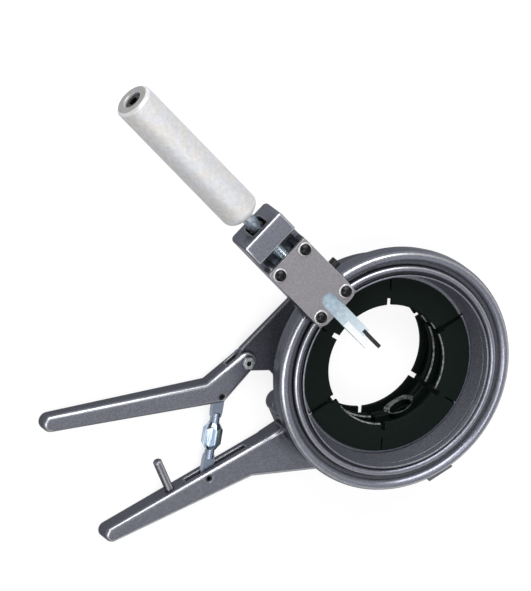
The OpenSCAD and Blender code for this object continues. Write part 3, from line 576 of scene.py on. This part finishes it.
def make_spindle():
    axis = Vector((0, 0, FEED_Z))
    rings = []
    for along, radius in spindle_rows():
        ring = []
        for a in turns(SPINDLE_SIDES):
            r = radius(a)
            spot = HEAD * along + ACROSS * (r * math.cos(a)) + Vector((0, 0, r * math.sin(a)))
            ring.append(spot * MM + axis)
        rings.append(ring)
    bm = bmesh.new()
    add_skin(bm, rings, ring=False)
    obj = close_mesh(bm, "spindle_threaded")
    obj.data.materials.append(MATERIAL["tool_steel"])
    smooth(obj.data, SHARP)
    stand_in(obj, "spindle")


def make_seats():
    """Thin rounded rings on the cover plate, round the heads of its screws."""
    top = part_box("cover_plate")[1].z / MM
    profile = [
        (SEAT_IN, -0.1), (SEAT_IN, SEAT_HIGH * 0.5), (SEAT_IN + 0.2, SEAT_HIGH),
        (SEAT_OUT - 0.3, SEAT_HIGH), (SEAT_OUT, 0.0), (SEAT_OUT, -0.1),
    ]
    bm = bmesh.new()
    for along, across in COVER_SPOTS:
        middle = HEAD * along + ACROSS * across + Vector((0, 0, top))
        rings = []
        for a in turns(SEAT_SIDES):
            out = Vector((math.cos(a), math.sin(a), 0))
            rings.append([(middle + out * r + Vector((0, 0, h))) * MM for r, h in profile])
        add_skin(bm, rings, ring=True)
    obj = close_mesh(bm, "cover_seats")
    smooth(obj.data, SEAT_SHARP)
    # The seats take the pale plate edge finish, partly a painted highlight
    obj.data.materials.append(MATERIAL["plate_edge"])
    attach(obj, "rotor")


# Tools that cut the copies

def revolve(name, profile):
    """Ring round the pipe axis with a closed profile of radius and height, in millimetres."""
    rows = [
        [Vector((r * math.cos(a), r * math.sin(a), z)) * MM for r, z in profile]
        for a in turns(RECESS_SIDES)
    ]
    bm = bmesh.new()
    add_skin(bm, rows, ring=True)
    return close_mesh(bm, name)


def screw_place(half):
    """Middle of a half bush's screw, in metres, and its way out from the pipe axis."""
    low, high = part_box(half + "_insert_screw")
    middle = (low + high) / 2
    return middle, Vector((middle.x, middle.y, 0)).normalized()


def screw_boss(half):
    """Round bar along the screw of a half bush, as wide as the boss round it."""
    middle, way = screw_place(half)
    bm = bmesh.new()
    bmesh.ops.create_cone(
        bm, cap_ends=True, segments=BOSS_SIDES, depth=CUT_LENGTH * MM,
        radius1=BOSS_R * MM, radius2=BOSS_R * MM,
    )
    boss = close_mesh(bm, "boss")
    place = Matrix.Translation(way * BOSS_MIDDLE * MM + Vector((0, 0, middle.z)))
    boss.data.transform(place @ way.to_track_quat("Z", "Y").to_matrix().to_4x4())
    return boss


def notch_tool(mid):
    """Bars for the notches of a half bush, at the height of its middle."""
    size = Matrix.Diagonal(((NOTCH_OUT - NOTCH_IN) * MM, NOTCH_W * MM, CUT_LENGTH * MM, 1))
    place = Matrix.Translation(Vector(((NOTCH_OUT + NOTCH_IN) / 2, 0, mid)) * MM)
    bm = bmesh.new()
    for angle in NOTCH_ANGLES:
        bar = bmesh.ops.create_cube(bm, size=1.0)["verts"]
        turn = Matrix.Rotation(math.radians(angle), 4, "Z")
        bmesh.ops.transform(bm, matrix=turn @ place @ size, verts=bar)
    return close_mesh(bm, "notches")


def bore_tools(half):
    """Tools for the recesses in the bore of a half bush, round its screw boss, and its notches."""
    low, high = (v.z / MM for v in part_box(half + "_insert"))
    mid = (low + high) / 2
    inside = BORE_R - CUT_SPARE
    back = [
        (RECESS_R, low + LIP), (RECESS_R, mid - RIB), (inside, mid - RIB), (inside, low + LIP),
    ]
    front = [
        (RECESS_R, mid + RIB), (RECESS_R, high - LIP), (inside, high - LIP),
        (inside, mid + RIB - RIB_EDGE - CUT_SPARE), (BORE_R + RIB_EDGE, mid + RIB),
    ]
    tools = [revolve("recess", profile) for profile in (back, front)]
    for tool in tools:
        carve(tool, screw_boss(half))
    return tools + [notch_tool(mid)]


def corner_tool(corner, u, v):
    """Upright tool that rounds the corner between the faces towards u and v."""
    outline = [(CORNER_SPARE, CORNER_SPARE), (-BLOCK_R, CORNER_SPARE)]
    for i in range(CORNER_STEPS + 1):
        a = math.pi / 2 * i / CORNER_STEPS
        outline.append((BLOCK_R * (math.sin(a) - 1), BLOCK_R * (math.cos(a) - 1)))
    outline.append((CORNER_SPARE, -BLOCK_R))
    ends = [
        [(corner + u * x + v * y + Vector((0, 0, z))) * MM for x, y in outline]
        for z in (0, CORNER_TALL)
    ]
    bm = bmesh.new()
    add_skin(bm, ends, ring=False)
    return close_mesh(bm, "corner")


def block_tools():
    """Tools for the upright corners at the outer end of the bearing block."""
    spots = [v.co / MM for v in frame["nodes"]["head_bracket"].data.vertices]
    end = max(p.dot(HEAD) for p in spots)
    side = max(p.dot(ACROSS) for p in spots)
    return [
        corner_tool(HEAD * end + ACROSS * side * way, HEAD, ACROSS * way) for way in (-1, 1)
    ]


def wear_and_highlight_insert(obj, half):
    """Shades the bore of a half bush, scuffs its screw seat pale, and paints a highlight on pale strips at its
    front edge and its rib.
    """
    screw, way = screw_place(half)
    back, front = (v.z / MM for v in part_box(half + "_insert"))
    rib_top = (back + front) / 2 + RIB

    def on_bore(c, n):
        return off_axis(c) < NOTCH_OUT + 1 and n.z < 0.3

    # Painted highlight: pale strips at the front edge and rib, only at the turns where the light catches them
    def on_highlight_line(c, n):
        near_rib = rib_top - RIB_STRIP < c.z < rib_top + RIB_OVER
        turn = math.degrees(math.atan2(c.y, c.x))
        on_lit_side = any(start < turn < stop for start, stop in HIGHLIGHT_ANGLES)
        slanted = 0.4 < n.z < 0.9 and inward(c, n) > 0.4
        in_strip = off_axis(c) < BORE_R + FRONT_STRIP and (c.z > front - FRONT_STRIP or near_rib)
        return in_strip and on_lit_side and slanted

    def on_seat(c, n):
        away = Vector((c.x, c.y, c.z - screw.z / MM))
        away -= way * away.dot(way)
        cone = CONE_R < away.length < BOSS_R and 0.3 < -n.dot(way) < 0.95
        crest = CREST_R < away.length < BOSS_R + 0.3 and -n.dot(way) > 0.85
        return Vector((c.x, c.y, 0)).dot(way) > 0 and (cone or crest)

    recolour(obj, "insert_bore", on_bore)
    recolour(obj, "insert_highlight_line", on_highlight_line)
    recolour(obj, "insert_seat", on_seat)


# Castings
for node in ("lower_jaw", "upper_jaw", "lever", "stop_pin"):
    soften(node, 0.0)
soften("head_bracket", 0.0, main="head", tools=block_tools())
# Ring faces towards the pipe axis take a paler copy of the paint, as painted light
for node in ("guide_ring", "retaining_ring", "cutter_ring"):
    recolour(soften(node, 0.0, main="turned"), "ring_bore", lambda c, n: inward(c, n) > 0.3)

# Machined and bought-in pieces: width of their roundings, finish of these, finish of the piece
for node, width, edge, main in (
    ("cover_plate", 0.5, "plate_edge", None),
    ("cutter_bar", 0.5, "bar_edge", "bar"),
    ("tool_slide", 0.3, None, None),
    ("parting_blade", 0.12, None, None),
    ("chamfer_blade", 0.15, None, "bar_edge"),
    ("turnbuckle_nut", 0.4, None, "buckle"),
    ("lower_eye", 0.3, None, "eye"),
    ("upper_eye", 0.3, None, "eye"),
    ("lever_bolt", 0.3, None, "bright"),
    ("lever_nut", 0.3, None, None),
    ("cover_screws", 0.25, None, None),
    ("side_screw", 0.3, None, None),
    ("grip_screw", 0.3, None, None),
    ("grip", 0.5, None, None),
):
    soften(node, width, edge=edge, main=main)

# Half bushes
for half in ("lower", "upper"):
    tools = bore_tools(half)
    insert = soften(half + "_insert", 0.25, segments=2, edge="insert_edge", tools=tools)
    wear_and_highlight_insert(insert, half)

# Grip: dull end face, bare chamfer round it
grip = bpy.data.objects["grip_finish"]
end = max(v.co.dot(HEAD) for v in grip.data.vertices) / MM
recolour(grip, "grip_end", lambda c, n: n.dot(HEAD) > 0.9 and c.dot(HEAD) > end - GRIP_FACE)
recolour(grip, "grip_rim", lambda c, n: 0.2 < n.dot(HEAD) < 0.9 and c.dot(HEAD) > end - GRIP_RIM)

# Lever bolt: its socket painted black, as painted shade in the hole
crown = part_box("lever_bolt")[1].z / MM
recolour(
    bpy.data.objects["lever_bolt_finish"], "black_screw",
    lambda c, n: off_axis(c - LEVER_PIVOT) < SOCKET_R
    and crown - SOCKET_FLOOR < c.z < crown - SOCKET_TOP,
)

# Parting blade: brazed into the bar, so it shows dark only past the bar's end
blade = bpy.data.objects["parting_blade_finish"]
bm = bmesh.new()
bm.from_mesh(blade.data)
bmesh.ops.bisect_plane(
    bm, geom=bm.verts[:] + bm.edges[:] + bm.faces[:], plane_co=HEAD * BRAZED * MM, plane_no=HEAD,
)
bm.to_mesh(blade.data)
bm.free()
recolour(blade, "bar", lambda c, n: c.dot(HEAD) > BRAZED)

# Chamfer blade: ground white on its faces, left dark on its flank
recolour(bpy.data.objects["chamfer_blade_finish"], "blade", lambda c, n: n.dot(ACROSS) > 0.7)

# New pieces
make_seats()
make_spindle()

# CAD nodes that keep their shape
for node, slot in SLOT.items():
    if node not in DONE:
        mesh = frame["nodes"][node].data
        mesh.materials.clear()
        mesh.materials.append(MATERIAL[slot])


# Camera: nearly parallel view from above, rolled as in the photo

WIDE, HIGH = 531, 591
PX_PER_MM = 1.64
RING_PX, RING_PY, RING_Z = 387, 365, 36
RIGHT = Vector((0.9152, 0.0645, 0.3995)).normalized()
UP = Vector((0.0646, 0.9522, -0.3010))
UP = (UP - RIGHT * UP.dot(RIGHT)).normalized()
BACK = RIGHT.cross(UP)
CAMERA_FAR, SENSOR = 12.0, 36.0
CLIP_NEAR, CLIP_FAR = 1.0, 100.0


def make_camera():
    """Puts the middle of the ring's front, RING_Z millimetres up, at its place in the photo."""
    aim = Vector((0, 0, RING_Z))
    aim += RIGHT * ((WIDE / 2 - RING_PX) / PX_PER_MM)
    aim += UP * ((RING_PY - HIGH / 2) / PX_PER_MM)
    camera = link_object("camera", bpy.data.cameras.new("camera"))
    turn = Matrix((RIGHT, UP, BACK)).transposed().to_4x4()
    camera.matrix_world = Matrix.Translation(aim * MM + BACK * CAMERA_FAR) @ turn
    camera.data.sensor_width = SENSOR
    camera.data.lens = SENSOR * CAMERA_FAR / (HIGH / PX_PER_MM * MM)
    camera.data.clip_start = CLIP_NEAR
    camera.data.clip_end = CLIP_FAR
    bpy.context.scene.camera = camera


# Floor and light

FLOOR_HALF, FLOOR_DROP = 3.0, 0.3 * MM
FLOOR_GREY, FLOOR_GLOW = (0.26, 0.26, 0.26, 1), (0.80, 0.80, 0.80, 1)
PANEL = Vector((0.45, -0.33, 0.83)).normalized()
HORIZON_RAMP = (0.03, 0.09, 1.0, 0.1)
PANEL_RAMP = (0.72, 0.90, 0.1, 0.8)
LAMP_AIM, LAMP_FAR = Vector((-0.06, 0.03, 0.03)), 1.4


def maximum(tree, a, b):
    node = tree.nodes.new("ShaderNodeMath")
    node.operation = "MAXIMUM"
    tree.links.new(a, node.inputs[0])
    tree.links.new(b, node.inputs[1])
    return node.outputs[0]


def ramp(tree, value, limits):
    """Maps a value from the first two limits to the last two."""
    node = tree.nodes.new("ShaderNodeMapRange")
    tree.links.new(value, node.inputs[0])
    for i, limit in enumerate(limits):
        node.inputs[i + 1].default_value = limit
    return node.outputs[0]


def make_floor():
    """Grey floor that looks white from the camera and in mirrors and glass."""
    bm = bmesh.new()
    bmesh.ops.create_grid(bm, x_segments=1, y_segments=1, size=FLOOR_HALF)
    mesh = bpy.data.meshes.new("floor")
    bm.to_mesh(mesh)
    bm.free()
    obj = link_object("floor", mesh)
    obj.location.z = -FLOOR_DROP
    mat = bpy.data.materials.new("floor")
    mat.use_nodes = True
    tree = mat.node_tree
    tree.nodes.clear()
    diffuse = tree.nodes.new("ShaderNodeBsdfDiffuse")
    diffuse.inputs["Color"].default_value = FLOOR_GREY
    ray = tree.nodes.new("ShaderNodeLightPath").outputs
    seen = maximum(tree, ray["Is Camera Ray"], ray["Is Glossy Ray"])
    seen = maximum(tree, seen, ray["Is Transmission Ray"])
    glow = tree.nodes.new("ShaderNodeEmission")
    glow.inputs["Color"].default_value = FLOOR_GLOW
    tree.links.new(seen, glow.inputs["Strength"])
    both = tree.nodes.new("ShaderNodeAddShader")
    tree.links.new(diffuse.outputs[0], both.inputs[0])
    tree.links.new(glow.outputs[0], both.inputs[1])
    out = tree.nodes.new("ShaderNodeOutputMaterial")
    tree.links.new(both.outputs[0], out.inputs["Surface"])
    mesh.materials.append(mat)


def make_world():
    """Studio round the object: white at the horizon, dark walls and one large pale panel."""
    world = bpy.data.worlds.new("studio")
    bpy.context.scene.world = world
    world.use_nodes = True
    tree = world.node_tree
    way = tree.nodes.new("ShaderNodeTexCoord").outputs["Generated"]
    split = tree.nodes.new("ShaderNodeSeparateXYZ")
    tree.links.new(way, split.inputs[0])
    dot = tree.nodes.new("ShaderNodeVectorMath")
    dot.operation = "DOT_PRODUCT"
    tree.links.new(way, dot.inputs[0])
    dot.inputs[1].default_value = PANEL
    horizon = ramp(tree, split.outputs[2], HORIZON_RAMP)
    panel = ramp(tree, dot.outputs["Value"], PANEL_RAMP)
    background = tree.nodes["Background"].inputs
    tree.links.new(maximum(tree, horizon, panel), background["Strength"])
    background["Color"].default_value = (1, 1, 1, 1)


def softbox(name, direction, size, power):
    data = bpy.data.lights.new(name, "AREA")
    data.shape = "RECTANGLE"
    data.size, data.size_y = size
    data.energy = power
    lamp = link_object(name, data)
    way = Vector(direction).normalized()
    lamp.location = LAMP_AIM + way * LAMP_FAR
    lamp.rotation_mode = "QUATERNION"
    lamp.rotation_quaternion = way.to_track_quat("Z", "Y")


make_camera()
make_floor()
make_world()
softbox("key", (-0.06, 0.77, 0.64), (1.4, 0.9), 21.0)
softbox("top", (-0.10, 0.0, 1.0), (0.35, 0.9), 4.0)
softbox("rim", (-0.27, -0.32, 0.91), (0.45, 0.45), 3.8)
softbox("fill", (-0.62, -0.35, 0.70), (0.7, 0.7), 2.2)
softbox("side", (-0.86, -0.26, 0.40), (0.6, 0.5), 1.2)

bpy.context.scene.view_settings.view_transform = "Standard"
